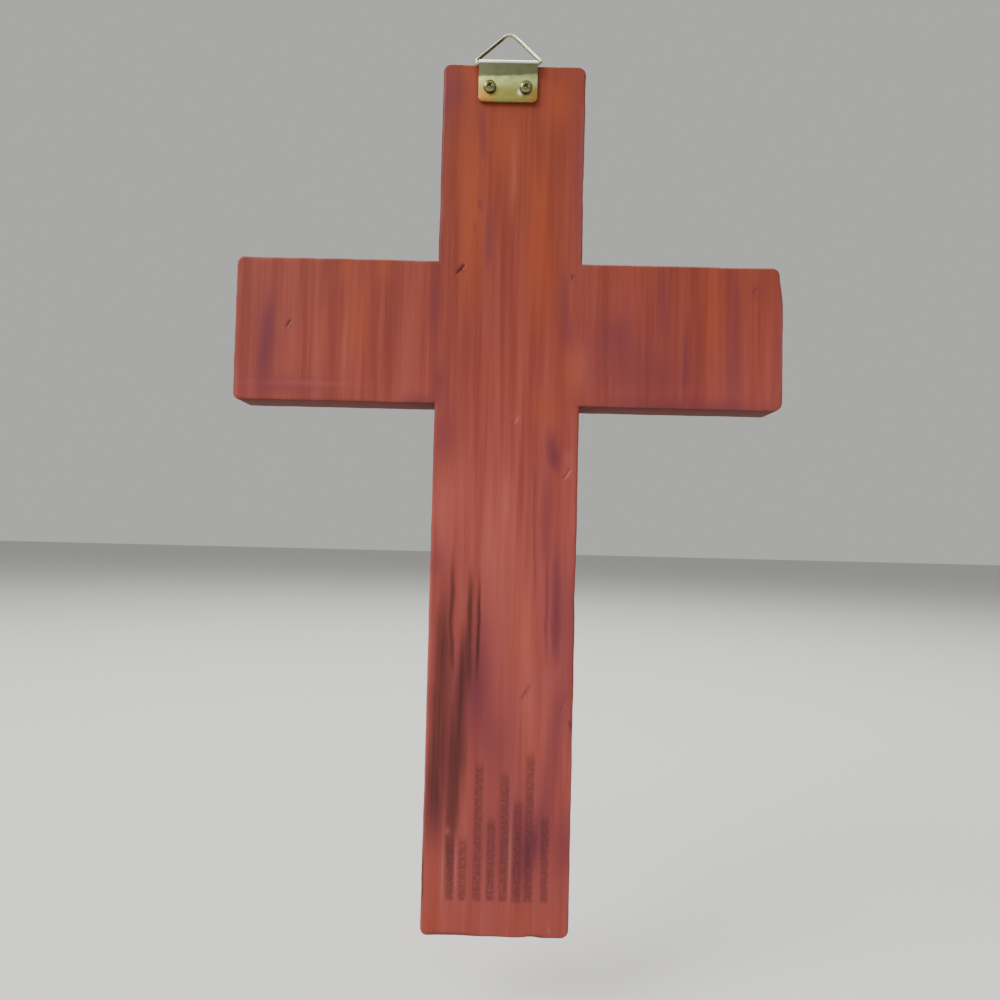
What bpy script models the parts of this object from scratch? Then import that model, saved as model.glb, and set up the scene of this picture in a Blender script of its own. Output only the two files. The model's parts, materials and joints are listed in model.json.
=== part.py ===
"""A plain wooden wall cross and its brass hanger: one flat board, a folded strap, a wire ring, two screws.

Metres, +Z up as the cross hangs. The back, which carries the hanger, faces +Y and the plain front -Y. The
origin is the point under the ring's apex where a level nail carries the cross.
"""

import math

import bmesh
import bpy
from mathutils import Matrix, Vector

# The board, sawn in one piece from a plank
BOARD_HEIGHT = 0.300
BOARD_SPAN = 0.190
BOARD_THICKNESS = 0.016
LIMB_WIDTH = 0.050
HEAD_LENGTH = 0.070  # the upright above the arms
CORNER_RADIUS = 0.0028  # the outer corners, seen from the front
ARRIS_RADIUS = 0.0009  # the worn edges between faces and sides
FRONT_WOOD = 0.0075  # wood left in front of the screw tips

# The ring, bent from wire into a triangle whose base turns in the strap's roll
WIRE_DIAMETER = 0.00115
RING_BEND = 0.0012  # radius of the two base corners, along the middle of the wire
APEX_BEND = 0.0021
LONG_LEG_ANGLE = math.radians(58)  # between the base and the leg on the +X side
SHORT_LEG_ANGLE = math.radians(59.5)
RING_TUCK = 0.00015  # how far inside the roll's ends the corners start to bend
WIRE_JOINT_GAP = 0.00015  # between the wire's two ends, beside the apex
RING_LEAN = math.radians(30)  # from upright, forward over the board's top edge

# The strap, a strip of sheet folded over the ring's base and closed into two leaves
SHEET = 0.0004
STRAP_WIDTH = 0.0205
STRAP_CORNER = 0.0017
STRAP_OFFSET = 0.0023  # from the board's middle, towards +X
LEAF_GAP = 0.0001
PIVOT_CLEARANCE = 0.00012
WOOD_RISE = 0.0005  # how far the board's top edge stands above the ring's pivot
FOLD_DROP = 0.0040  # from the pivot down to where the leaves close
FOLD_RADIUS = 0.0012

# The two screws, with pan heads and cross recesses
SCREW_INSET = 0.0039  # from the strap's sides
SCREW_DROP = 0.0043  # below the place where the leaves close
STRAP_END = 0.0051  # from the screws down to the strap's lower edge
HEAD_DIAMETER = 0.0044
HEAD_HEIGHT = 0.0013
SHANK_DIAMETER = 0.0022
TIP_LENGTH = 0.0020
RECESS_SPAN = 0.0026
RECESS_WIDTH = 0.00055
RECESS_DEPTH = 0.0007
RECESS_FLOOR = 0.45  # the recess's span at its floor, as a share of its span at the mouth
RECESS_TURN = math.radians(32)

SEAT_GAP = 0.0003  # between pieces that lie on each other
CUT_MARGIN = 0.0010  # how far a cutter runs past what it cuts
ARC_STEP = math.radians(15)
ARRIS_STEPS = 3
TURNED_STEPS = 24

# Worked out from the sizes above
WIRE_RADIUS = WIRE_DIAMETER / 2
ROLL_MIDDLE = WIRE_RADIUS + PIVOT_CLEARANCE + SHEET / 2
ROLL_OUTER = ROLL_MIDDLE + SHEET / 2
STRAP_LENGTH = FOLD_DROP + SCREW_DROP + STRAP_END
FRONT_LEAF = SHEET + LEAF_GAP - ROLL_MIDDLE  # the middle of the front leaf, from the pivot

parts = None
cutters = None


def clear_scene():
    for thing in list(bpy.data.objects):
        bpy.data.objects.remove(thing, do_unlink=True)


def new_collection(name):
    collection = bpy.data.collections.new(name)
    bpy.context.scene.collection.children.link(collection)
    return collection


def material(name, colour, roughness, metallic):
    made = bpy.data.materials.new(name)
    made.use_nodes = True
    shader = made.node_tree.nodes["Principled BSDF"]
    shader.inputs["Base Color"].default_value = (*colour, 1)
    shader.inputs["Roughness"].default_value = roughness
    shader.inputs["Metallic"].default_value = metallic
    made.diffuse_color = (*colour, 1)
    return made


def add_object(name, data, finish, collection):
    thing = bpy.data.objects.new(name, data)
    if finish is not None:
        data.materials.append(finish)
    collection.objects.link(thing)
    return thing


def add_cutter(name, mesh):
    cutter = add_object(name, mesh, None, cutters)
    cutter.hide_render = True
    cutter.display_type = "WIRE"
    return cutter


def boolean(thing, cutter, operation="DIFFERENCE"):
    cut = thing.modifiers.new(cutter.name, "BOOLEAN")
    cut.object = cutter
    cut.operation = operation
    cut.solver = "EXACT"


def arc(centre, radius, start, turn):
    """Points on an arc in a plane, both ends included."""
    steps = max(1, math.ceil(abs(turn) / ARC_STEP))
    angles = [start + turn * k / steps for k in range(steps + 1)]
    return [centre + radius * Vector((math.cos(a), math.sin(a))) for a in angles]


def bend_centre(before, corner, after, radius):
    """The centre of the arc that rounds a corner, and half the corner's angle."""
    back = (before - corner).normalized()
    ahead = (after - corner).normalized()
    half = back.angle(ahead) / 2
    return corner + (back + ahead).normalized() * radius / math.sin(half), half


def rounded_corner(before, corner, after, radius):
    """The arc that replaces a corner between two straight runs."""
    centre, half = bend_centre(before, corner, after, radius)
    back = (before - corner).normalized()
    start = corner + back * radius / math.tan(half) - centre
    turn = math.pi - 2 * half
    side = (corner - before).normalized().to_3d().cross((after - corner).to_3d()).z
    return arc(centre, radius, math.atan2(start.y, start.x), math.copysign(turn, side))


def flat_shape(name, outline, thickness):
    """A closed mesh of a flat outline in the XZ plane, with its thickness along Y about the middle."""
    curve = bpy.data.curves.new(name, "CURVE")
    curve.dimensions = "2D"
    curve.fill_mode = "BOTH"
    curve.extrude = thickness / 2
    spline = curve.splines.new("POLY")
    spline.points.add(len(outline) - 1)
    for point, place in zip(spline.points, outline):
        point.co = (place.x, place.y, 0, 1)
    spline.use_cyclic_u = True
    drawn = bpy.data.objects.new(name, curve)
    drawn.rotation_euler.x = math.pi / 2
    parts.objects.link(drawn)
    depsgraph = bpy.context.evaluated_depsgraph_get()
    mesh = bpy.data.meshes.new_from_object(drawn.evaluated_get(depsgraph))
    mesh.transform(drawn.matrix_world)
    bpy.data.objects.remove(drawn)
    shape = bmesh.new()
    shape.from_mesh(mesh)
    bmesh.ops.remove_doubles(shape, verts=shape.verts, dist=1e-6)
    for side in (-1, 1):
        cap = [face for face in shape.faces if all(corner.co.y * side > 0 for corner in face.verts)]
        bmesh.ops.dissolve_faces(shape, faces=cap)
    bmesh.ops.recalc_face_normals(shape, faces=shape.faces)
    shape.to_mesh(mesh)
    shape.free()
    return mesh


def turned_mesh(name, profile):
    """A profile of radius and height for a Screw modifier."""
    shape = bmesh.new()
    points = [shape.verts.new((radius, 0, height)) for radius, height in profile]
    for upper, lower in zip(points, points[1:]):
        shape.edges.new((upper, lower))
    mesh = bpy.data.meshes.new(name)
    shape.to_mesh(mesh)
    shape.free()
    return mesh


def ring_triangle():
    """The sharp corners of the ring's middle line in its own plane, and the centre of its apex bend."""
    base = STRAP_WIDTH / 2 - RING_TUCK
    long_corner = base + RING_BEND / math.tan(LONG_LEG_ANGLE / 2)
    short_corner = base + RING_BEND / math.tan(SHORT_LEG_ANGLE / 2)
    long_slope = math.tan(LONG_LEG_ANGLE)
    short_slope = math.tan(SHORT_LEG_ANGLE)
    across = (long_corner * long_slope - short_corner * short_slope) / (long_slope + short_slope)
    apex = Vector((across, (long_corner - across) * long_slope))
    right, left = Vector((long_corner, 0)), Vector((-short_corner, 0))
    return left, apex, right, bend_centre(left, apex, right, APEX_BEND)[0]


def pivot_place():
    """Where the ring's base turns, seen from the nail under its apex."""
    bend = ring_triangle()[3]
    reach = bend.y + APEX_BEND
    return Vector((-bend.x, reach * math.sin(RING_LEAN), WIRE_RADIUS - reach * math.cos(RING_LEAN)))


def screw_places(pivot):
    """The middle of the strap's front leaf at each screw."""
    aside = STRAP_WIDTH / 2 - SCREW_INSET
    seat = pivot.y + FRONT_LEAF + SHEET / 2
    down = pivot.z - FOLD_DROP - SCREW_DROP
    sides = {"screw_left": aside, "screw_right": -aside}
    return {name: Vector((pivot.x + side, seat, down)) for name, side in sides.items()}


def screw_reach():
    """The length of a screw under its head."""
    return SEAT_GAP + 2 * SHEET + LEAF_GAP + SEAT_GAP + BOARD_THICKNESS - FRONT_WOOD


def make_hole_cutter(name, place):
    """A bore through both leaves and on into the board, a little deeper than its screw."""
    depth = screw_reach() + CUT_MARGIN
    shape = bmesh.new()
    radius = SHANK_DIAMETER / 2 + SEAT_GAP
    bmesh.ops.create_cone(
        shape, cap_ends=True, segments=TURNED_STEPS, radius1=radius, radius2=radius, depth=depth + CUT_MARGIN
    )
    mesh = bpy.data.meshes.new(name)
    shape.to_mesh(mesh)
    shape.free()
    cutter = add_cutter(name, mesh)
    cutter.rotation_euler.x = math.pi / 2
    cutter.location = place + Vector((0, (CUT_MARGIN - depth) / 2, 0))
    return cutter


def make_board(pivot, holes):
    """The cross, sawn from one plank: the grain runs up through the arms as well."""
    half, arm = LIMB_WIDTH / 2, BOARD_SPAN / 2
    foot, shoulder = HEAD_LENGTH - BOARD_HEIGHT, -LIMB_WIDTH
    corners = [(half, HEAD_LENGTH), (-half, HEAD_LENGTH), (-half, 0), (-arm, 0), (-arm, shoulder)]
    corners += [(-half, shoulder), (-half, foot), (half, foot), (half, shoulder), (arm, shoulder)]
    corners += [(arm, 0), (half, 0)]
    inner = [i for i, (across, up) in enumerate(corners) if abs(across) == half and up in (0, shoulder)]
    corners = [Vector(place) for place in corners]
    outline = []
    for i, corner in enumerate(corners):
        after = corners[(i + 1) % len(corners)]
        outline += [corner] if i in inner else rounded_corner(corners[i - 1], corner, after, CORNER_RADIUS)
    mesh = flat_shape("cross_board", outline, BOARD_THICKNESS)
    shape = bmesh.new()
    shape.from_mesh(mesh)
    rim = {edge for face in shape.faces if abs(face.normal.y) > 0.9 for edge in face.edges}
    bmesh.ops.bevel(
        shape, geom=list(rim), offset=ARRIS_RADIUS, segments=ARRIS_STEPS, profile=0.5, affect="EDGES"
    )
    for flat in [face for face in shape.faces if abs(face.normal.y) > 0.999]:
        middle = Vector((0, flat.verts[0].co.y, -LIMB_WIDTH / 2))
        ranked = sorted(flat.verts, key=lambda corner: (corner.co - middle).length)
        bmesh.ops.connect_verts(shape, verts=ranked[:4])
    bmesh.ops.triangulate(shape, faces=[face for face in shape.faces if len(face.verts) > 4])
    shape.to_mesh(mesh)
    shape.free()
    wood = material("stained_wood", (0.30, 0.075, 0.06), 0.5, 0)
    board = add_object("cross_board", mesh, wood, parts)
    back = pivot.y - ROLL_OUTER - SEAT_GAP
    top = pivot.z + WOOD_RISE
    board.location = (pivot.x - STRAP_OFFSET, back - BOARD_THICKNESS / 2, top - HEAD_LENGTH)
    for hole in holes:
        boolean(board, hole)
    return board


def strap_profile():
    """The middle of the sheet, in the YZ plane: up from the wood, over the ring's base and down again."""
    below = -(STRAP_LENGTH + CUT_MARGIN)
    fold = Vector((FRONT_LEAF, -FOLD_DROP))
    leave = math.atan2(fold.y, fold.x) + math.acos(ROLL_MIDDLE / fold.length)
    roll = arc(Vector((0, 0)), ROLL_MIDDLE, math.pi, leave - math.pi)
    near_end, far_end = Vector((-ROLL_MIDDLE, below)), Vector((FRONT_LEAF, below))
    return [near_end, *roll, *rounded_corner(roll[-1], fold, far_end, FOLD_RADIUS), far_end]


def make_strap(pivot, holes):
    """The hanger's strap: brass sheet folded over the ring's base, its two leaves closed and drilled."""
    width = STRAP_WIDTH + 2 * CUT_MARGIN
    shape = bmesh.new()
    points = [shape.verts.new((-width / 2, place.x, place.y)) for place in strap_profile()]
    edges = [shape.edges.new(pair) for pair in zip(points, points[1:])]
    drawn = bmesh.ops.extrude_edge_only(shape, edges=edges)["geom"]
    moved = [thing for thing in drawn if isinstance(thing, bmesh.types.BMVert)]
    bmesh.ops.translate(shape, verts=moved, vec=(width, 0, 0))
    bmesh.ops.recalc_face_normals(shape, faces=shape.faces)
    mesh = bpy.data.meshes.new("hanger_plate")
    shape.to_mesh(mesh)
    shape.free()
    strap = add_object("hanger_plate", mesh, material("brass_strap", (0.62, 0.50, 0.24), 0.28, 1), parts)
    strap.location = pivot
    sheet = strap.modifiers.new("sheet", "SOLIDIFY")
    sheet.thickness = SHEET
    sheet.offset = 0
    sheet.use_even_offset = True
    aside, top = STRAP_WIDTH / 2, ROLL_OUTER + CUT_MARGIN
    low_left, low_right = Vector((-aside, -STRAP_LENGTH)), Vector((aside, -STRAP_LENGTH))
    high_left, high_right = Vector((-aside, top)), Vector((aside, top))
    outline = [high_right, high_left]
    outline += rounded_corner(high_left, low_left, low_right, STRAP_CORNER)
    outline += rounded_corner(low_left, low_right, high_right, STRAP_CORNER)
    plan = add_cutter("strap_plan", flat_shape("strap_plan", outline, 4 * ROLL_OUTER))
    plan.location = pivot
    boolean(strap, plan, "INTERSECT")
    for hole in holes:
        boolean(strap, hole)
    return strap


def make_ring(pivot):
    """The wire ring: a triangle, its ends butted beside the apex and its base loose in the strap's roll."""
    left, apex, right, _ = ring_triangle()
    down = (left - apex).normalized()
    half = (apex - left).angle(apex - right) / 2
    start = apex + down * (APEX_BEND / math.tan(half) + WIRE_RADIUS)
    end = start + down * WIRE_JOINT_GAP
    route = [start]
    route += rounded_corner(start, apex, right, APEX_BEND)
    route += rounded_corner(apex, right, left, RING_BEND)
    route += rounded_corner(right, left, apex, RING_BEND)
    route.append(end)
    curve = bpy.data.curves.new("hanger_ring", "CURVE")
    curve.dimensions = "3D"
    curve.bevel_depth = WIRE_RADIUS
    curve.bevel_resolution = 4
    curve.use_fill_caps = True
    spline = curve.splines.new("POLY")
    spline.points.add(len(route) - 1)
    for point, place in zip(spline.points, route):
        point.co = (place.x, 0, place.y, 1)
    ring = add_object("hanger_ring", curve, material("brass_wire", (0.60, 0.50, 0.28), 0.25, 1), parts)
    hinge = bpy.data.objects.new("ring_pivot", None)
    hinge.empty_display_size = STRAP_WIDTH / 2
    hinge.location = pivot
    parts.objects.link(hinge)
    ring.parent = hinge
    ring.rotation_euler.x = RING_LEAN
    return ring


def screw_profile():
    """Radius and height from the top of the head, down its side and the shank, to the tip."""
    head, shank, reach = HEAD_DIAMETER / 2, SHANK_DIAMETER / 2, screw_reach()
    shoulder = Vector((head / 2, HEAD_HEIGHT * 0.3))
    crown = [Vector((0, HEAD_HEIGHT))]
    for k in range(5):
        turn = math.pi / 2 * (1 - k / 4)
        crown.append(shoulder + Vector((head / 2 * math.cos(turn), HEAD_HEIGHT * 0.7 * math.sin(turn))))
    body = [(head, 0), (shank, 0), (shank, TIP_LENGTH - reach), (0, -reach)]
    return [*crown, *(Vector(point) for point in body)]


def make_recess_cutter(name, place, turn):
    """One slot of the cross recess, narrowing towards its floor."""
    shape = bmesh.new()
    bmesh.ops.create_cube(shape, size=1)
    for corner in shape.verts:
        sunk = corner.co.z < 0
        corner.co.x *= RECESS_SPAN * (RECESS_FLOOR if sunk else 1)
        corner.co.y *= RECESS_WIDTH
        corner.co.z = -RECESS_DEPTH if sunk else CUT_MARGIN
    mesh = bpy.data.meshes.new(name)
    shape.to_mesh(mesh)
    shape.free()
    cutter = add_cutter(name, mesh)
    top = Matrix.Translation(place + Vector((0, SEAT_GAP + HEAD_HEIGHT, 0)))
    cutter.matrix_world = top @ Matrix.Rotation(-math.pi / 2, 4, "X") @ Matrix.Rotation(turn, 4, "Z")
    return cutter


def make_screw(name, place, finish):
    """A small screw through the strap into the board."""
    screw = add_object(name, turned_mesh(name, screw_profile()), finish, parts)
    screw.location = place + Vector((0, SEAT_GAP, 0))
    screw.rotation_euler.x = -math.pi / 2
    turned = screw.modifiers.new("turned", "SCREW")
    turned.steps = TURNED_STEPS
    turned.render_steps = TURNED_STEPS
    turned.use_merge_vertices = True
    turned.merge_threshold = 1e-6
    for number, turn in enumerate((RECESS_TURN, RECESS_TURN + math.pi / 2), 1):
        boolean(screw, make_recess_cutter(f"{name}_slot_{number}", place, turn))
    return screw


def main():
    global parts, cutters
    clear_scene()
    parts = new_collection("wall_cross")
    cutters = new_collection("cutters")
    pivot = pivot_place()
    places = screw_places(pivot)
    holes = [make_hole_cutter(f"{name}_hole", place) for name, place in places.items()]
    make_board(pivot, holes)
    make_strap(pivot, holes)
    make_ring(pivot)
    brass = material("brass_screw", (0.55, 0.46, 0.26), 0.35, 1)
    for name, place in places.items():
        make_screw(name, place, brass)


main()
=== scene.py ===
import json
import math

import bmesh
import bpy
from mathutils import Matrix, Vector


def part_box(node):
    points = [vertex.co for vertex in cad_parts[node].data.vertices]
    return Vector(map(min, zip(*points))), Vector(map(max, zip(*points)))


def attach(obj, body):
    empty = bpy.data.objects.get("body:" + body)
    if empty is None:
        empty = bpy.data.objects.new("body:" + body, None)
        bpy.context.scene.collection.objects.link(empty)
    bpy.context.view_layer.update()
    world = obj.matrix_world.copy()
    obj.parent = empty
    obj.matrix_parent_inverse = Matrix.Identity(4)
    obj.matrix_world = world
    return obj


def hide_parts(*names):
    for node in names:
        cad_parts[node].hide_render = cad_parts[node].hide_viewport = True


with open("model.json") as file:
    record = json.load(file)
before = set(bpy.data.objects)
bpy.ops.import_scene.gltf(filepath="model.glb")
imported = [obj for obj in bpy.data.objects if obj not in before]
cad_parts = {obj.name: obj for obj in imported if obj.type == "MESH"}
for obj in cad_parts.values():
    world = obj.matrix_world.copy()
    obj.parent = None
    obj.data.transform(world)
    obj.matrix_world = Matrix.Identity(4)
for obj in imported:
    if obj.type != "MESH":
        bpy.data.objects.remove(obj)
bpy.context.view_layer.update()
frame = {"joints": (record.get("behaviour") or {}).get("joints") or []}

# The camera
# It looks at the back of the cross from 27 cm away, a little below the arms, with a wide lens. Its place
# is measured from the board, because the board fills the picture.
MM = 0.001
board_low, board_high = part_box("cross_board")
board_middle = (board_low.x + board_high.x) / 2
board_back = board_high.y
board_foot = board_low.z
CAMERA_ASIDE = 0.21 * MM
CAMERA_AWAY = 274.3 * MM
CAMERA_UP = 136.3 * MM
CAMERA_TURN = [math.radians(angle) for angle in (92.272, -1.402, -179.775)]
camera_place = (board_middle + CAMERA_ASIDE, board_back + CAMERA_AWAY, board_foot + CAMERA_UP)
bpy.ops.object.camera_add(location=camera_place, rotation=CAMERA_TURN)
camera = bpy.context.object
camera.data.sensor_width = 36
camera.data.lens = 28.8
camera.data.clip_start = 10 * MM
bpy.context.scene.camera = camera

# The board
# One flat cross sawn from a single plank, so the grain runs upright through the arms too. The edges are
# sanded round by hand, a little unevenly, and the whole is brushed with a red mahogany stain.
LIMB = 50 * MM
ARMS_TOP = board_foot + 230 * MM
ARRIS = 0.9 * MM
CORNER_STEPS, ARRIS_STEPS = 6, 4
GRID = 1.5 * MM  # how far apart the cuts are that make the faces fine enough for the dents
CORNERS = {  # the radius of each outer corner in millimetres, by how far right and up it is
    (-25, 300): 2.6, (25, 300): 2.8, (-95, 230): 2.0, (95, 230): 2.6,
    (-95, 180): 2.2, (95, 180): 3.1, (-25, 0): 2.4, (25, 0): 2.8,
}


def on_board(right, up, depth=0.0):
    """A place given in millimetres to the right as the back is seen, above the foot and into the wood."""
    return Vector((board_middle - right * MM, board_back - depth * MM, board_foot + up * MM))


def deselect():
    """Back to object mode with nothing selected."""
    if bpy.context.mode != "OBJECT":
        bpy.ops.object.mode_set(mode="OBJECT")
    bpy.ops.object.select_all(action="DESELECT")


def edit():
    """Opens the object just made for editing, with nothing selected."""
    bpy.ops.object.mode_set(mode="EDIT")
    bpy.ops.mesh.select_all(action="DESELECT")


def pick(thing, kind, wanted):
    """Selects the vertices, edges or faces for which wanted is true, and nothing else."""
    bpy.ops.mesh.select_all(action="DESELECT")
    bpy.ops.mesh.select_mode(type=kind)
    shape = bmesh.from_edit_mesh(thing.data)
    elements = {"VERT": shape.verts, "EDGE": shape.edges, "FACE": shape.faces}[kind]
    for element in elements:
        element.select_set(wanted(element))
    shape.select_flush_mode()
    bmesh.update_edit_mesh(thing.data)


def apply_place():
    """Leaves the object just made at the origin, unturned and unscaled, with its place in its mesh."""
    bpy.ops.object.transform_apply(location=True, rotation=True, scale=True)


def apply_modifiers(thing):
    """Applies every modifier of the active object, in their order."""
    for modifier in list(thing.modifiers):
        bpy.ops.object.modifier_apply(modifier=modifier.name)


def cut_out(cutter, thing):
    """Cuts one object out of another and removes it."""
    deselect()
    bpy.context.view_layer.objects.active = thing
    thing.modifiers.new("cut", "BOOLEAN").object = cutter
    apply_modifiers(thing)
    bpy.data.objects.remove(cutter)
    thing.select_set(True)


def smooth(degrees):
    """Smooths the edges of the object just made that turn by less than this."""
    bpy.ops.object.shade_smooth_by_angle(angle=math.radians(degrees))


deselect()
thickness = board_high.y - board_low.y
crossing = on_board(0, 205, thickness / 2 / MM)
bpy.ops.mesh.primitive_cube_add(size=1, location=crossing, scale=(LIMB, thickness, LIMB))
board = bpy.context.object
board.name = "stained_board"
apply_place()
edit()
arm = board_high.x - board_middle - LIMB / 2
limbs = [
    ((0, 0, 1), board_high.z - ARMS_TOP), ((0, 0, -1), ARMS_TOP - LIMB - board_foot),
    ((1, 0, 0), arm), ((-1, 0, 0), arm),
]
for direction, length in limbs:
    side = crossing + Vector(direction) * LIMB / 2
    pick(board, "FACE", lambda face: (face.calc_center_median() - side).length < MM)
    bpy.ops.mesh.extrude_region_move(TRANSFORM_OT_translate={"value": Vector(direction) * length})
for (right, up), radius in CORNERS.items():
    corner = on_board(right, up)
    pick(board, "EDGE", lambda edge: all(
        abs(end.co.x - corner.x) < MM and abs(end.co.z - corner.z) < MM for end in edge.verts
    ))
    bpy.ops.mesh.bevel(offset=radius * MM, segments=CORNER_STEPS, affect="EDGES")
pick(board, "EDGE", lambda edge: (
    sorted(abs(face.normal.y) > 0.9 for face in edge.link_faces) == [False, True]
))
bpy.ops.mesh.bevel(offset=ARRIS, segments=ARRIS_STEPS, affect="EDGES")
for axis, low, high in ((0, board_low.x, board_high.x), (2, board_low.z, board_high.z)):
    across = Vector([float(k == axis) for k in range(3)])
    for step in range(1, math.ceil((high - low) / GRID)):
        bpy.ops.mesh.select_all(action="SELECT")
        bpy.ops.mesh.bisect(plane_co=across * (low + step * GRID), plane_no=across)

# Places pushed into the wood: from and to along a short line, how wide, how deep and which way.
# First the dents and nicks in the back, then what is worn off the edges and corners.
INTO, LEFT, RIGHT, UP = (0, -1, 0), (1, 0, 0), (-1, 0, 0), (0, 0, 1)
PUSHED = [
    ((-18.2, 225.6), (-15.9, 228.3), 0.8, 0.45, INTO), ((21.9, 224.6), (22.0, 225.4), 0.8, 0.40, INTO),
    ((-76.9, 205.4), (-75.6, 207.7), 0.6, 0.22, INTO), ((2.7, 174.3), (3.6, 176.0), 1.2, 0.22, INTO),
    ((20.2, 155.2), (22.3, 158.2), 0.8, 0.24, INTO), ((84.9, 221.0), (85.2, 222.0), 0.8, 0.14, INTO),
    ((10.0, 84.0), (7.4, 80.0), 0.6, 0.16, INTO), ((22.8, 82.0), (20.8, 75.4), 0.5, 0.12, INTO),
    ((24.6, 72.4), (24.9, 70.4), 1.1, 0.60, INTO), ((18.1, 2.6), (18.7, 4.6), 0.35, 0.14, INTO),
    ((10.2, 166.2), (12.0, 167.6), 0.4, 0.10, INTO),
    ((95.5, 229.0), (95.5, 229.0), 12, 1.3, LEFT), ((-95.0, 230.0), (-95.0, 230.0), 2.5, 0.4, RIGHT),
    ((25.0, 258.0), (25.0, 254.0), 4.0, 0.25, LEFT), ((25.0, 120.0), (25.0, 112.0), 6.0, 0.15, LEFT),
    ((-12.0, 0.2), (-20.0, 0.2), 4.0, 0.15, UP), ((14.5, 0.2), (11.0, 0.2), 2.5, 0.25, UP),
]
FINE_CUTS = 3  # further cuts where a dent is narrower than the grid
PUSH_STEP = 0.7  # from one push to the next along the line, as a share of the width
for start, end, width, depth, way in PUSHED:
    first, last = on_board(*start), on_board(*end)
    middle, reach = (first + last) / 2, (last - first).length / 2 + 1.5 * width * MM
    if width * MM < GRID:
        pick(board, "FACE", lambda face: (face.calc_center_median() - middle).length < reach + GRID)
        bpy.ops.mesh.subdivide(number_cuts=FINE_CUTS)
    pushes = round((last - first).length / (PUSH_STEP * width * MM))
    for k in range(pushes + 1):
        place = first.lerp(last, k / max(pushes, 1))
        shape = bmesh.from_edit_mesh(board.data)
        nearest = min(shape.verts, key=lambda corner: (corner.co - place).length)
        pick(board, "VERT", lambda corner: corner == nearest)
        bpy.ops.transform.translate(
            value=Vector(way) * depth * MM, use_proportional_edit=True,
            proportional_edit_falloff="SMOOTH", proportional_size=width * MM,
        )
# The fine cuts leave many-sided faces beside them, so the whole board becomes triangles
bpy.ops.mesh.select_all(action="SELECT")
bpy.ops.mesh.quads_convert_to_tris(quad_method="BEAUTY", ngon_method="BEAUTY")
bpy.ops.object.mode_set(mode="OBJECT")

# The hand-sanded edges and sides wander by a tenth or two of a millimetre
WANDER = 0.35 * MM
FLAT = 0.02 * MM
worn = board.vertex_groups.new(name="worn")
for point in board.data.vertices:
    if board_low.y + FLAT < point.co.y < board_high.y - FLAT:
        worn.add([point.index], 1, "REPLACE")
unevenness = bpy.data.textures.new("unevenness", "CLOUDS")
unevenness.noise_scale = 9 * MM
wear = board.modifiers.new("wear", "DISPLACE")
wear.texture = unevenness
wear.texture_coords = "LOCAL"
wear.vertex_group = "worn"
wear.strength = WANDER

# The two pilot holes, a little wider than the screws
SHANK = 2.2 * MM
PILOT_GAP = 0.3 * MM
PILOT_SIDES = 24
for name in ("screw_left", "screw_right"):
    low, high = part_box(name)
    deselect()
    bpy.ops.mesh.primitive_cylinder_add(
        vertices=PILOT_SIDES, radius=SHANK / 2 + PILOT_GAP, depth=2 * (board_back - low.y + PILOT_GAP),
        location=((low.x + high.x) / 2, board_back, (low.z + high.z) / 2), rotation=(math.pi / 2, 0, 0),
    )
    cut_out(bpy.context.object, board)
smooth(40)


class Shade:
    """A value, colour or place on its way through a material. Operators on it add Math nodes."""

    def __init__(self, tree, socket):
        self.tree = tree
        self.socket = socket

    def node(self, kind, settings, values, output=0):
        """Any other node: its type, its settings, and the values or links of its sockets."""
        made = self.tree.nodes.new("ShaderNode" + kind)
        for name, setting in settings.items():
            setattr(made, name, setting)
        for name, value in values.items():
            if isinstance(value, Shade):
                self.tree.links.new(value.socket, made.inputs[name])
            else:
                made.inputs[name].default_value = value
        return Shade(self.tree, made.outputs[output])

    def maths(self, operation, *others):
        return self.node("Math", {"operation": operation}, dict(enumerate((self, *others))))

    def __add__(self, other):
        return self.maths("ADD", other)

    def __sub__(self, other):
        return self.maths("SUBTRACT", other)

    def __mul__(self, other):
        return self.maths("MULTIPLY", other)

    def __truediv__(self, other):
        return self.maths("DIVIDE", other)

    def __abs__(self):
        return self.maths("ABSOLUTE")

    def __neg__(self):
        return self * -1.0

    def __rsub__(self, other):
        return -self + other

    __radd__ = __add__
    __rmul__ = __mul__

    def most(self, other):
        return self.maths("MAXIMUM", other)

    def rise(self, low, high):
        """Goes smoothly from 0 at low to 1 at high, whichever is the larger."""
        spread = {"Value": self, "From Min": low, "From Max": high}
        return self.node("MapRange", {"interpolation_type": "SMOOTHSTEP"}, spread)

    def cover(self, under, colour):
        """A colour laid over another where this value is 1."""
        return self.node("Mix", {"data_type": "RGBA"}, {0: self, 6: under, 7: colour}, 2)


def paint(red, green, blue):
    """A colour as a screen shows it, from 0 to 255, in the values that a shader takes."""
    return (*(((value / 255 + 0.055) / 1.055) ** 2.4 for value in (red, green, blue)), 1.0)


def new_finish(name, thing, origin):
    """A material on a piece: its shader's sockets, and the place on it in millimetres from an origin."""
    made = bpy.data.materials.new(name)
    made.use_nodes = True
    thing.data.materials.clear()
    thing.data.materials.append(made)
    tree = made.node_tree
    place = Shade(tree, tree.nodes.new("ShaderNodeTexCoord").outputs["Object"])
    place = place.node("VectorMath", {"operation": "SUBTRACT"}, {0: place, 1: origin})
    place = place.node("VectorMath", {"operation": "SCALE"}, {0: place, "Scale": 1 / MM})
    return tree.nodes["Principled BSDF"].inputs, place


def parts_of(place):
    """Leftward as the back is seen, outward from the back, and upward."""
    return [place.node("SeparateXYZ", {}, {0: place}, k) for k in range(3)]


def feed(sockets, name, shade):
    shade.tree.links.new(shade.socket, sockets[name])


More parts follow.
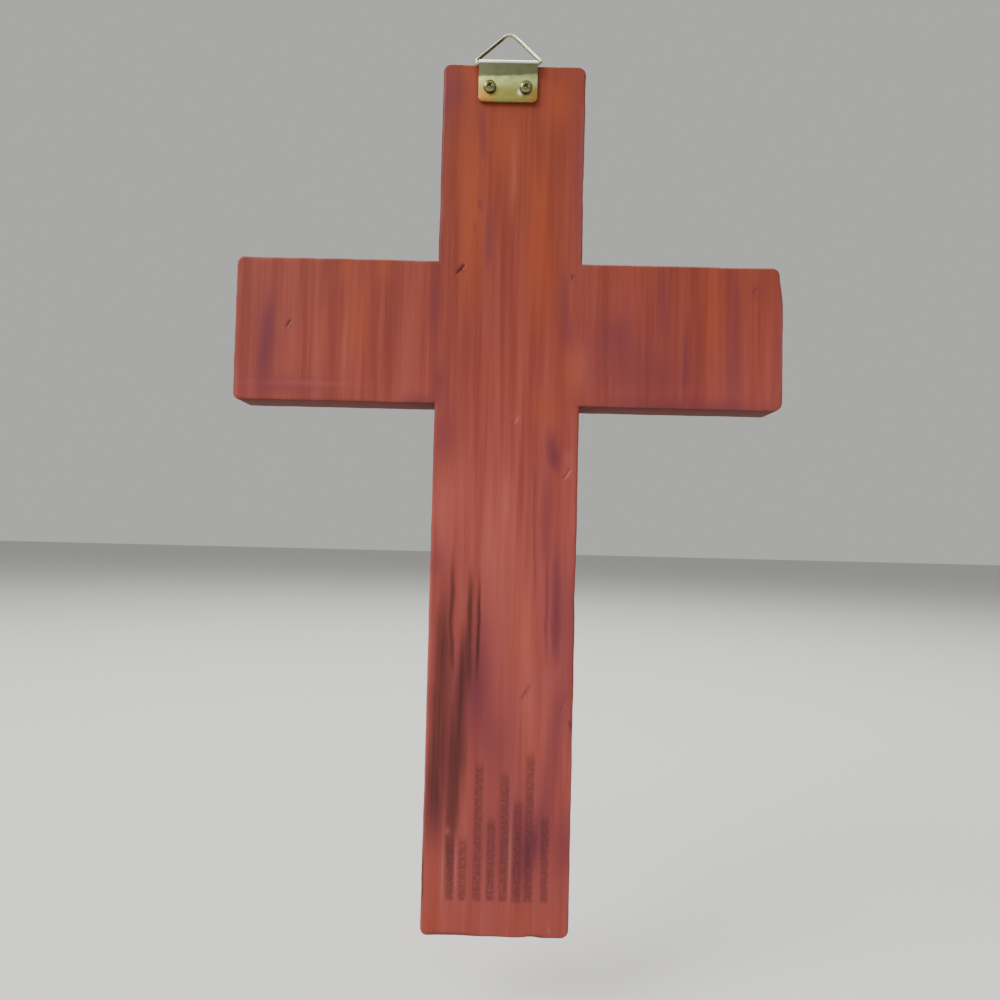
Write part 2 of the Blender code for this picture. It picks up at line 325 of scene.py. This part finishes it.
def noise(place, size, detail, shift):
    """Noise whose patches are as large along each axis as the millimetres given."""
    stretch = {0: place, 1: [1 / length for length in size], 2: (shift, shift, shift)}
    drawn = place.node("VectorMath", {"operation": "MULTIPLY_ADD"}, stretch)
    return drawn.node("TexNoise", {}, {"Vector": drawn, "Scale": 1.0, "Detail": detail, "Roughness": 0.5})


def coat(sockets, colour, roughness, relief, strength, deep):
    """Feeds a shader its colour, its roughness and a bump, which is as deep as the millimetres given."""
    bump = {"Strength": strength, "Distance": deep * MM, "Height": relief}
    feed(sockets, "Base Color", colour)
    feed(sockets, "Roughness", roughness)
    feed(sockets, "Normal", relief.node("Bump", {}, bump))


wood, place = new_finish("mahogany_stain", board, on_board(0, 0))
leftward, outward, up = parts_of(place)
on_back = outward.rise(-1.6, -0.5)
fibres = noise(place, (0.45, 0.45, 16), 2, 3.0)
streaks = noise(place, (1.6, 1.6, 55), 2, 11.0)
bands = noise(place, (6, 6, 130), 1, 27.0)
clouds = noise(place, (16, 16, 34), 2, 41.0)
sway = noise(place, (5, 5, 12), 2, 53.0)
right = (sway - 0.5) * 1.6 - leftward

# What the brush left on the back, with darker patches at the dents and along the foot's worn bottom edge,
# light scratches, and painted highlights on the dents' lips and the right-hand edges, in millimetres to the
# right and up from the foot's middle.
# A spot is a place with its half width and half height. A stroke has two ends and its half width there.
# The long spots at (24.4, 262) and (94.4, 205), on the right-hand edges of the head and the right arm's
# end, are a painted highlight, a mauve lit band on the rounded arris; the rest is stain
PURPLE_SPOTS = [
    (-19.5, 290, 4.0, 6), (-23.5, 286, 1.6, 12), (24.4, 262, 2.6, 34), (-84.0, 201, 5.0, 17),
    (-75.1, 185, 14, 4), (-30, 181, 6, 2.5), (46.0, 192, 20, 11), (36.0, 206, 9, 9), (-23.3, 188, 2.7, 6),
    (-7.0, 94, 6.0, 22), (-9.0, 82, 5, 16), (17.3, 163, 4.1, 5), (-22.9, 126, 3.1, 6), (23.0, 31, 3.4, 12),
    (-1.0, 64, 8, 16), (4.7, 32, 16, 16), (-21.0, 42, 4.5, 12), (20.0, 108, 5.5, 22), (94.4, 205, 1.8, 26),
    (9.2, 26, 4.0, 13), (-15.5, 24, 2.0, 9),
    (62.0, 181, 30, 3), (-26.0, 214, 2.0, 12), (85.6, 221.4, 2.0, 2.6), (-21.0, 168, 4, 12),
]
PURPLE_STROKES = [
    ((-12.0, 284), (-9.6, 266), 1.5, 1.3), ((18.0, 229), (20.6, 200), 1.4, 2.2),
    ((14.9, 172), (17.2, 157), 1.8, 1.8), ((15.8, 172), (16.6, 158), 1.4, 1.2),
    ((15.1, 157), (14.3, 126), 2.3, 2.0), ((18.3, 134), (18.7, 92), 1.4, 1.4),
    ((-7.6, 250), (-7.4, 228), 1.4, 1.7), ((21.6, 88), (16.5, 45), 3.0, 3.4),
    ((18.4, 58), (13.8, 26), 2.2, 3.4), ((77.5, 230), (78.0, 180), 2.4, 3.0),
    ((61.4, 213), (61.5, 186), 0.9, 1.1), ((52.5, 228), (53.5, 205), 2.0, 2.6),
    ((-82.5, 216), (-84.9, 186), 1.8, 2.6), ((-24.8, 285), (-24.5, 230), 0.8, 0.8),
    ((-16.0, 96), (-15.8, 46), 2.0, 2.6), ((10.2, 159), (10.4, 148), 0.7, 0.6),
    ((10.0, 154), (11.0, 116), 0.6, 0.5), ((14.6, 149), (15.4, 96), 0.7, 0.6),
    ((10.2, 84.8), (7.2, 79.2), 0.8, 0.6), ((23.4, 82.8), (20.6, 74.6), 0.8, 0.6),
    ((20.7, 82), (19.3, 70), 0.8, 0.6), ((-11.4, 252), (-10.8, 248), 0.9, 0.8),
    ((-12.8, 243.8), (-12.3, 240), 0.5, 0.5),
]
BROWN_STROKES = [
    ((-17.2, 126), (-17.0, 88), 0.7, 1.2), ((-19.8, 118), (-20.3, 44), 2.6, 4.0),
    ((-20.8, 96), (-21.6, 34), 2.6, 3.0), ((-10.9, 122), (-11.3, 82), 0.9, 1.4),
    ((-7.8, 120), (-8.0, 88), 0.6, 0.6), ((-12.6, 104), (-13.8, 48), 1.4, 3.2),
    ((-14.0, 80), (-15.4, 29), 3.2, 2.2), ((-25.0, 31), (-24.8, 10), 0.5, 0.5),
]
BROWN_SPOTS = [
    (-17.0, 227.0, 1.2, 1.6), (22.0, 225.0, 0.9, 1.1), (-76.2, 206.6, 0.8, 1.4), (24.8, 71.4, 0.8, 1.4),
    (-16.0, 0.6, 8.0, 0.9), (14.0, 0.6, 3.0, 0.9),
]
ORANGE_SPOTS = [
    (-15.7, 294, 2.6, 8), (14.6, 287, 6.0, 10), (-2.9, 272, 6.0, 12), (9.2, 250, 4.0, 18),
    (10.4, 224, 6.0, 18), (-15.0, 262, 4.0, 20), (-56.3, 226, 2.2, 6), (-44.2, 227, 2.8, 5),
    (-52.2, 205, 3.4, 14), (-19.7, 157, 2.7, 8), (-21.3, 19, 3.6, 14), (-18.3, 6, 8.0, 4), (10.0, 6, 9, 4),
    (6.4, 104, 4.0, 22), (70.3, 206, 2.6, 16), (-14.1, 234, 3.4, 22), (13.5, 179, 6.9, 7),
    (22.0, 192, 4.0, 9), (12.0, 62, 3.0, 10),
]
# Paler patches in the stain; the two at the dents, at (3.0, 175.4) and (21.6, 157), are painted highlights
# on the dents' lips
PALE_SPOTS = [
    (24.9, 194, 3.8, 9), (21.5, 162, 2.4, 3), (8.7, 106, 2.0, 21), (10.3, 79, 2.0, 21), (-73.4, 186, 16, 1),
    (0.2, 147, 1.0, 10), (-56.5, 200, 1.0, 17), (0.5, 262, 1.0, 12), (3.0, 175.4, 1.4, 1.2),
    (21.6, 157, 1.3, 1.8), (-20.0, 148, 5, 14), (-3.0, 130, 7, 30),
]
# Light scratches near the foot and a pale line on the upright's left edge; the lines along the right-hand
# edges of the upright, the head and the right arm's end are a worn pale edge with a painted highlight on
# the rounded arris
PALE_LINES = [
    (25.1, 38, 0.5, 24), (95.0, 197, 0.5, 8), (-16.6, 35, 0.8, 1.2), (-17.9, 21, 0.4, 13),
    (-13.6, 24, 0.4, 9), (4.7, 26, 0.5, 14), (18.2, 3.4, 0.3, 1.4), (-24.9, 60, 0.4, 30),
    (24.8, 262, 1.2, 32), (94.8, 205, 1.0, 22),
]
PRINT_ROWS = [  # eight rows that run up the foot, faint strokes that stand for small print: place and top
    (-15.5, 33), (-11.2, 33), (-6.3, 58), (-1.8, 40), (2.6, 55), (7.0, 46), (11.0, 62), (16.4, 41),
]
PRINT_FOOT = 12
PRINT_HALF = 1.5


def spots(marks, right, up):
    """Soft patches, each fading out from its middle."""
    total = 0.0
    for middle, height, half_width, half_height in marks:
        aside, above = (right - middle) / half_width, (up - height) / half_height
        total = total + (-(aside * aside + above * above)).maths("EXPONENT")
    return total


def strokes(marks, right, up):
    """Brush strokes, dense between their two ends and fading at the sides and ends."""
    densest = 0.0
    for (start, top), (end, bottom), wide_top, wide_bottom in marks:
        along = (up - bottom) / (top - bottom)
        line = along * (start - end) + end
        half_width = along * (wide_top - wide_bottom) + wide_bottom
        aside = abs(right - line) / half_width
        stroke = aside.rise(1.6, 0.2) * along.rise(-0.2, 0.25) * along.rise(1.2, 0.7)
        densest = stroke.most(densest)
    return densest


higher = up.rise(100, 300)
brushed = (streaks * 0.7 + fibres * 0.3).rise(0.35, 0.65) * 0.35 + 0.8
orange = spots(ORANGE_SPOTS, right, up) * 0.6 * on_back + clouds.rise(0.5, 0.8) * 0.2
orange = orange * (higher * 0.4 + 0.5)
# The purple also lays the painted mauve highlight on the right-hand edges
purple = (spots(PURPLE_SPOTS, right, up) * 0.42 + strokes(PURPLE_STROKES, right, up) * 0.4) * on_back
purple = purple * brushed + bands.rise(0.5, 0.8) * 0.2
brown = strokes(BROWN_STROKES, right, up) * 0.78 * brushed + spots(BROWN_SPOTS, -leftward, up) * 0.5
brown = brown * on_back
# The pale patches and lines also lay the painted highlights on the dents and the right-hand edges
pale = spots(PALE_SPOTS, right, up) * on_back * 0.25
pale_line = spots(PALE_LINES, -leftward, up) * on_back * 0.22
print_mark = 0.0
for middle, top in PRINT_ROWS:
    aside = abs(leftward + middle)
    length = up.rise(top + 1, top - 3) * up.rise(PRINT_FOOT - 0.6, PRINT_FOOT + 0.6)
    print_mark = print_mark + aside.rise(PRINT_HALF * 1.3, PRINT_HALF * 0.5) * length
ticks = noise(place, (1.3, 1.3, 0.9), 1, 67.0).rise(0.34, 0.62)
print_mark = print_mark * on_back * (ticks * 0.28 + 0.26)

# The stain is browner towards the top; towards the foot it is paler and pinker, partly stain and partly a
# painted reflection, a veil of light on the finish
tone = (bands * 0.5 + streaks * 0.38 + fibres * 0.12).rise(0.32, 0.68)
dark_stain_and_veil = higher.cover(paint(138, 58, 52), paint(112, 43, 28))
light_stain_and_veil = higher.cover(paint(165, 78, 70), paint(139, 61, 37))
colour = tone.cover(dark_stain_and_veil, light_stain_and_veil)
colour = orange.cover(colour, paint(160, 68, 32))
colour = pale.cover(colour, paint(195, 101, 87))
colour = purple.cover(colour, paint(100, 40, 54))
colour = brown.cover(colour, paint(66, 27, 24))
colour = print_mark.cover(colour, paint(66, 30, 32))
colour = pale_line.cover(colour, paint(205, 130, 120))
facing = place.node("NewGeometry", {}, {}, 1)
end_grain = abs(facing.node("SeparateXYZ", {}, {0: facing}, 2)).rise(0.6, 0.97)
colour = (end_grain * 0.8).cover(colour, paint(60, 24, 19))
relief = fibres * 0.4 + streaks * 0.6 - brown * 0.3
coat(wood, colour, streaks * 0.3 + 0.38 + end_grain * 0.4, relief, 0.4, 0.08)
wood["Specular IOR Level"].default_value = 0.28
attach(board, "cross")
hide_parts("cross_board")

# The hanger's strap
# A strip of thin brass-plated sheet, folded over the base of the ring into a roll and closed again, so
# that two leaves lie on the wood. Its edges are sheared and its lower corners rounded.
SHEET = 0.4 * MM
LEAF_GAP = 0.1 * MM
FOLD_DROP = 4.0 * MM
FOLD_BEND = 0.45 * MM
STRAP_CORNER = 1.7 * MM
SHEARED_EDGE = 0.07 * MM
ROLL_STEPS, FOLD_STEPS, STRAP_CORNER_STEPS = 28, 6, 8


def blunt(thing, width, degrees):
    """Applies the object's modifiers, and rounds the edges that turn by more than this."""
    edges = thing.modifiers.new("edges", "BEVEL")
    edges.width = width
    edges.segments = 2
    edges.angle_limit = math.radians(degrees)
    apply_modifiers(thing)


pivot = Vector(frame["joints"][0]["pos_m"])
strap_low, strap_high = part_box("hanger_plate")
strap_width = strap_high.x - strap_low.x
roll = (strap_high.y - strap_low.y) / 2 - SHEET / 2
near_leaf = SHEET + LEAF_GAP - roll
leaf = pivot.z - strap_low.z
leave = math.atan2(-FOLD_DROP, near_leaf) + math.acos(roll / math.hypot(near_leaf, FOLD_DROP))
deselect()
bpy.ops.mesh.primitive_plane_add(
    size=1, location=(pivot.x, pivot.y - roll, pivot.z - leaf / 2), rotation=(math.pi / 2, 0, 0),
)
strap = bpy.context.object
strap.name = "strap"
strap.scale = (strap_width, leaf, 1)
apply_place()
edit()
pick(strap, "EDGE", lambda edge: all(abs(end.co.z - pivot.z) < SHEET for end in edge.verts))
bpy.ops.mesh.spin(steps=ROLL_STEPS, angle=math.pi - leave, center=pivot, axis=(1, 0, 0))
off_roll = pivot + roll * Vector((0, math.cos(leave), math.sin(leave)))
fold = pivot + Vector((0, near_leaf, -FOLD_DROP))
for step in ((0, *(fold - off_roll).yz), (0, 0, FOLD_DROP - leaf)):
    bpy.ops.mesh.extrude_region_move(TRANSFORM_OT_translate={"value": step})
pick(strap, "EDGE", lambda edge: all(abs(end.co.z - fold.z) < SHEET / 4 for end in edge.verts))
bpy.ops.mesh.bevel(offset=FOLD_BEND, segments=FOLD_STEPS, affect="EDGES")
pick(strap, "VERT", lambda point: abs(point.co.z - strap_low.z) < SHEET / 4)
bpy.ops.mesh.bevel(offset=STRAP_CORNER, segments=STRAP_CORNER_STEPS, affect="VERTICES")
bpy.ops.mesh.select_all(action="SELECT")
bpy.ops.mesh.normals_make_consistent(inside=False)
bpy.ops.object.mode_set(mode="OBJECT")
sheet_metal = strap.modifiers.new("sheet", "SOLIDIFY")
sheet_metal.thickness = SHEET
sheet_metal.offset = 0
sheet_metal.use_even_offset = True
blunt(strap, SHEARED_EDGE, 50)
smooth(35)

# Where the strap changes colour, in millimetres up from the pivot, and its spots, like the board's. Above
# GREY_BELOW the strap is painted grey, a painted reflection of the darker room on the sloping fold
GREY_BELOW, GOLD_FROM, GOLD_TO = -4.0, -6.0, -9.5
# These two bound a painted highlight, a near-white line along the top of the roll
CREST_FROM, CREST_TO = -0.5, 0.1
# Painted reflection: orange spots at the strap's edges, the stained wood mirrored in the brass
WOOD_REFLECTIONS = [(-8.6, -9.0, 2.0, 3.6), (-7.5, -12.2, 3.4, 1.6), (9.4, -11.5, 1.4, 2.6), (8.0, -13.4, 3.6, 0.8)]
# Two near-white patches on the strap beside the right screw
WHITE_PATCHES = [(3.9, -9.7, 0.5, 0.7), (4.4, -10.4, 0.6, 0.6)]
brass, place = new_finish("strap_brass", strap, pivot)
leftward, _, up = parts_of(place)
mottle = noise(place, (2.5, 2.5, 1.6), 3, 5.0)
brushing = noise(place, (7.0, 0.3, 0.12), 2, 19.0)
# Painted reflection: the fold and roll are greyer, where the darker room is mirrored
folded = (up + leftward * 0.06 + (mottle - 0.5) * 0.8).rise(GREY_BELOW - 0.4, GREY_BELOW + 0.3)
golden = (up + (mottle - 0.5) * 3.0).rise(GOLD_FROM, GOLD_TO)
wood_reflected = spots(WOOD_REFLECTIONS, -leftward, up) * (mottle * 0.8 + 0.4)
# Painted highlight along the top of the roll
crest_highlight = up.rise(CREST_FROM, CREST_TO)
colour = golden.cover(paint(190, 203, 128), paint(160, 153, 84))
colour = folded.cover(colour, paint(128, 132, 100))
colour = (wood_reflected * 0.75).cover(colour, paint(190, 118, 50))
colour = (mottle.rise(0.42, 0.72) * 0.35).cover(colour, paint(104, 98, 62))
colour = crest_highlight.cover(colour, paint(250, 246, 226))
colour = spots(WHITE_PATCHES, -leftward, up).cover(colour, paint(255, 250, 225))
brass["Metallic"].default_value = 1.0
coat(brass, colour, mottle * 0.15 + brushing * 0.1 + 0.3, brushing * 0.4 + mottle, 0.35, 0.05)
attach(strap, "cross")
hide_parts("hanger_plate")

# The hanging ring
# A triangle bent from one brass-plated wire. Its base lies loose in the strap's roll, and its two ends
# are butted just beside the apex.
WIRE = 1.15 * MM
RING_LEAN = math.radians(30)
LONG_LEG, SHORT_LEG = math.radians(58), math.radians(59.5)
BASE_BEND, APEX_BEND = 1.2 * MM, 2.1 * MM
TUCK = 0.15 * MM
BUTT_GAP = 0.15 * MM
BUTT_EDGE = 0.08 * MM
WIRE_SIDES, BEND_STEPS = 20, 12
rising =Vector((0, -math.sin(RING_LEAN), math.cos(RING_LEAN)))
base = strap_width / 2 - TUCK
long_corner = base + BASE_BEND / math.tan(LONG_LEG / 2)
short_corner = base + BASE_BEND / math.tan(SHORT_LEG / 2)
slope_sum = math.tan(LONG_LEG) + math.tan(SHORT_LEG)
across = (long_corner * math.tan(LONG_LEG) - short_corner * math.tan(SHORT_LEG)) / slope_sum
# The corners of the triangle in the ring's own plane
short_end = Vector((-short_corner, 0))
apex = Vector((across, (long_corner - across) * math.tan(LONG_LEG)))
long_end = Vector((long_corner, 0))


def in_ring(flat):
    """A place in the leaning ring's plane."""
    return pivot + flat.x * Vector((1, 0, 0)) + flat.y * rising


def bend(before, corner, after, radius):
    """Where a bend starts and ends, its centre and its angle."""
    back, ahead = (before - corner).normalized(), (after - corner).normalized()
    half = back.angle(ahead) / 2
    run = radius / math.tan(half)
    centre = corner + (back + ahead).normalized() * radius / math.sin(half)
    return corner + back * run, corner + ahead * run, centre, math.pi - 2 * half


turns = [
    bend(short_end, apex, long_end, APEX_BEND), bend(apex, long_end, short_end, BASE_BEND),
    bend(long_end, short_end, apex, BASE_BEND),
]
downward = (short_end - apex).normalized()
butt = turns[0][0] + downward * WIRE / 2
deselect()
facing_up = in_ring(-downward) - in_ring(Vector((0, 0)))
bpy.ops.mesh.primitive_circle_add(
    vertices=WIRE_SIDES, radius=WIRE / 2, location=in_ring(butt),
    rotation=facing_up.to_track_quat("Z", "Y").to_euler(),
)
ring = bpy.context.object
ring.name = "wire_ring"
apply_place()
bpy.ops.object.mode_set(mode="EDIT")
bpy.ops.mesh.select_all(action="SELECT")
reached = butt
ring_normal = Vector((1, 0, 0)).cross(rising)
for start, end, centre, angle in turns:
    bpy.ops.mesh.extrude_region_move(TRANSFORM_OT_translate={"value": in_ring(start) - in_ring(reached)})
    bpy.ops.mesh.spin(steps=BEND_STEPS, angle=angle, center=in_ring(centre), axis=ring_normal)
    reached = end
finish_at = butt + downward * BUTT_GAP
bpy.ops.mesh.extrude_region_move(TRANSFORM_OT_translate={"value": in_ring(finish_at) - in_ring(reached)})
bpy.ops.mesh.edge_face_add()
pick(ring, "EDGE", lambda edge: edge.is_boundary)
bpy.ops.mesh.edge_face_add()
bpy.ops.mesh.select_all(action="SELECT")
bpy.ops.mesh.normals_make_consistent(inside=False)
pick(ring, "EDGE", lambda edge: any(len(face.verts) > 4 for face in edge.link_faces))
bpy.ops.mesh.bevel(offset=BUTT_EDGE, segments=2, affect="EDGES")
BENT_UP = [(short_end, 0.9), (long_end, -0.7)]  # how far each corner is bent up in millimetres
BENT_REACH = 2.4 * MM
for corner, raised in BENT_UP:
    place = in_ring(corner)
    shape = bmesh.from_edit_mesh(ring.data)
    nearest = min(shape.verts, key=lambda point: (point.co - place).length)
    pick(ring, "VERT", lambda point: point == nearest)
    bpy.ops.transform.translate(
        value=rising * raised * MM, use_proportional_edit=True,
        proportional_edit_falloff="SMOOTH", proportional_size=BENT_REACH,
    )
bpy.ops.object.mode_set(mode="OBJECT")
smooth(40)
wire, place = new_finish("wire_brass", ring, pivot)
leftward, _, up = parts_of(place)
mottle = noise(place, (3, 3, 3), 1, 33.0)
# Painted shade: the leg on the left as the back is seen is darker, as if in shadow, and the other paler, as
# if lit
shaded_leg = (leftward + (mottle - 0.5) * 2.0).rise(0.5, 2.5) * up.rise(1.2, 2.5)
colour = shaded_leg.cover(paint(182, 186, 150), paint(96, 84, 52))
colour = (mottle.rise(0.45, 0.75) * 0.4).cover(colour, paint(120, 106, 62))
wire["Metallic"].default_value = 1.0
coat(wire, colour, mottle * 0.2 + 0.22, mottle, 0.1, 0.03)
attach(ring, "ring")
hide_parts("hanger_ring")

# The two screws
# Small pan-head wood screws of plated steel with a cross recess, driven through both leaves.
SHANK_SIDES = 40
HEAD_HEIGHT = 1.3 * MM
HEAD_EDGE = 0.05 * MM
CROWN_TOP = 0.45  # the width where the head's curve ends at its top, as a share of the head's
RIM = 0.25  # the height of the head's upright rim, as a share of the head's
CROWN_STEPS = 6
TIP = 2.0 * MM
TIP_END = 0.02  # the width of the tip's end, as a share of the shank's
RECESS_SPAN, RECESS_WIDTH, RECESS_DEPTH = 2.9 * MM, 0.75 * MM, 0.8 * MM
RECESS_FLOOR = 0.45  # the size of the recess's floor, as a share of its mouth's
RECESS_TURN = math.radians(32)
for name in ("screw_left", "screw_right"):
    low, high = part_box(name)
    centre = Vector(((low.x + high.x) / 2, 0, (low.z + high.z) / 2))
    seat = high.y - HEAD_HEIGHT
    head = (high.x - low.x) / 2
    deselect()
    bpy.ops.mesh.primitive_cylinder_add(
        vertices=SHANK_SIDES, radius=SHANK / 2, depth=seat - low.y - TIP, rotation=(-math.pi / 2, 0, 0),
        location=centre + Vector((0, (seat + low.y + TIP) / 2, 0)),
    )
    screw = bpy.context.object
    screw.name = name.replace("screw", "pan_screw")
    apply_place()
    edit()
    middle = centre + Vector((0, seat, 0))
    pick(screw, "FACE", lambda face: face.normal.y > 0.9)
    bpy.ops.mesh.extrude_region_move()
    bpy.ops.transform.resize(value=(2 * head / SHANK, 1, 2 * head / SHANK), center_override=middle)
    width, risen = head, 0.0
    for step in range(1, CROWN_STEPS + 1):
        turn = math.pi / 2 * step / CROWN_STEPS
        next_width = head * (CROWN_TOP + (1 - CROWN_TOP) * math.cos(turn))
        next_risen = HEAD_HEIGHT * (RIM + (1 - RIM) * math.sin(turn))
        lift = {"value": (0, next_risen - risen, 0)}
        bpy.ops.mesh.extrude_region_move(TRANSFORM_OT_translate=lift)
        ratio = next_width / width
        bpy.ops.transform.resize(value=(ratio, 1, ratio), center_override=middle)
        width, risen = next_width, next_risen
    pick(screw, "FACE", lambda face: face.normal.y < -0.9 and face.calc_center_median().y < seat - SHANK)
    bpy.ops.mesh.extrude_region_move(TRANSFORM_OT_translate={"value": (0, -TIP, 0)})
    bpy.ops.transform.resize(value=(TIP_END, 1, TIP_END), center_override=centre)
    bpy.ops.object.mode_set(mode="OBJECT")
    for turn in (RECESS_TURN, RECESS_TURN + math.pi / 2):
        deselect()
        bpy.ops.mesh.primitive_cube_add(
            size=1, scale=(RECESS_SPAN, 2 * RECESS_DEPTH, RECESS_WIDTH), rotation=(0, turn, 0),
            location=centre + Vector((0, high.y, 0)),
        )
        slot = bpy.context.object
        apply_place()
        edit()
        pick(slot, "FACE", lambda face: face.normal.y < -0.9)
        bpy.ops.transform.resize(value=(RECESS_FLOOR, 1, RECESS_FLOOR), center_override=centre)
        cut_out(slot, screw)
    blunt(screw, HEAD_EDGE, 40)
    smooth(35)
    plated, place = new_finish("screw_brass", screw, centre + Vector((0, high.y, 0)))
    leftward, outward, up = parts_of(place)
    mottle = noise(place, (0.9, 0.9, 0.9), 3, 71.0)
    from_axis = (leftward * leftward + up * up).maths("SQRT")
    # Painted shade: the deep part of the cross recess and the head's lower side are darkened
    recess_shade = outward.rise(-0.45, -0.7) * from_axis.rise(1.6, 1.2)
    rim_shade = outward.rise(-0.75, -1.1)
    colour = mottle.cover(paint(112, 112, 72), paint(146, 146, 104))
    colour = (recess_shade.most(rim_shade) * 0.85).cover(colour, paint(46, 42, 26))
    plated["Metallic"].default_value = 1.0
    coat(plated, colour, mottle * 0.2 + 0.2, mottle, 0.3, 0.04)
    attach(screw, "cross")
    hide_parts(name)

# Light and floor
# A pale painted floor well below the foot, and three soft lamps: the main one above and to the left of
# the photograph, a faint broad one behind the camera for the brass, and one above the front.
FLOOR_SIZE = 12
FLOOR_DROP = 30 * MM
LAMP_AIM = Vector((0, 0, -0.15))
bpy.ops.mesh.primitive_plane_add(size=FLOOR_SIZE, location=(0, 0, board_foot - FLOOR_DROP))
floor = bpy.context.object
floor.name = "floor"
floor_paint = bpy.data.materials.new("floor_paint")
floor_paint.use_nodes = True
painted = floor_paint.node_tree.nodes["Principled BSDF"].inputs
painted["Base Color"].default_value = paint(196, 195, 192)
painted["Roughness"].default_value = 0.7
floor.data.materials.append(floor_paint)
LAMPS = [  # place, width, height and power
    ((1.3, 0.9, 1.1), 1.0, 1.0, 40), ((0, 1.2, 0.95), 1.8, 0.7, 4), ((-0.1, -0.7, 1.3), 1.5, 1.2, 45),
]
for place, width, height, power in LAMPS:
    bpy.ops.object.light_add(type="AREA", location=place)
    lamp = bpy.context.object
    lamp.data.shape = "RECTANGLE"
    lamp.data.size = width
    lamp.data.size_y = height
    lamp.data.energy = power
    lamp.rotation_euler = (LAMP_AIM - lamp.location).to_track_quat("-Z", "Y").to_euler()
world = bpy.data.worlds.new("studio")
world.use_nodes = True
sky = world.node_tree.nodes["Background"].inputs
sky["Color"].default_value = (0.8, 0.8, 0.78, 1)
sky["Strength"].default_value = 0.6
bpy.context.scene.world = world
